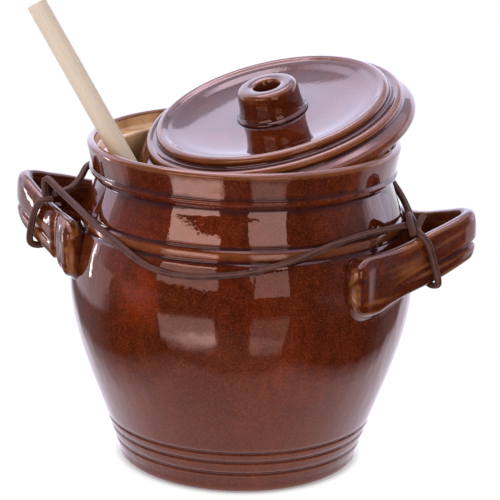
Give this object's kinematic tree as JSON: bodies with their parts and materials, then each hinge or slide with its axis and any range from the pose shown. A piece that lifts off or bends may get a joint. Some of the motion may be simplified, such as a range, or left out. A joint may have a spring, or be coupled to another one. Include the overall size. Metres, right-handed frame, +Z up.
{
  "type": "fermentation crock",
  "caption": "Glazed stoneware crock with two strap handles, an inset lid tilted in its mouth, a wooden stick leaning out and a leather thong tied between the handles.",
  "frame": {"origin": "centre of the crock's flat base, at floor level", "axes": "+Z up along the crock's axis; -Y is the side the picture looks at; +X is to the picture's right"},
  "size_m": [0.3032, 0.228, 0.3063],
  "materials": {
    "crock_body": "gloss",
    "right_handle": "gloss",
    "left_handle": "gloss",
    "front_thong": "satin",
    "back_thong": "satin",
    "left_knot": "satin",
    "right_knot": "satin",
    "lid": "gloss",
    "lid_knob": "gloss",
    "stick": "matte"
  },
  "bodies": {
    "crock": {"crock_body": "crock_body", "right_handle": "right_handle", "left_handle": "left_handle", "front_thong": "front_thong", "back_thong": "back_thong", "left_knot": "left_knot", "right_knot": "right_knot"},
    "lid": {"lid": "lid", "lid_knob": "lid_knob"},
    "stick": {"stick": "stick"}
  },
  "joints": [
    {"name": "lid_lift", "type": "slide", "parent": "crock", "child": "lid", "axis": [0, 0, 1], "range_m": [0, 0.07]},
    {"name": "stick_draw", "type": "slide", "parent": "crock", "child": "stick", "axis": [-0.5039, 0.12, 0.8554], "range_m": [0, 0.25]}
  ]
}
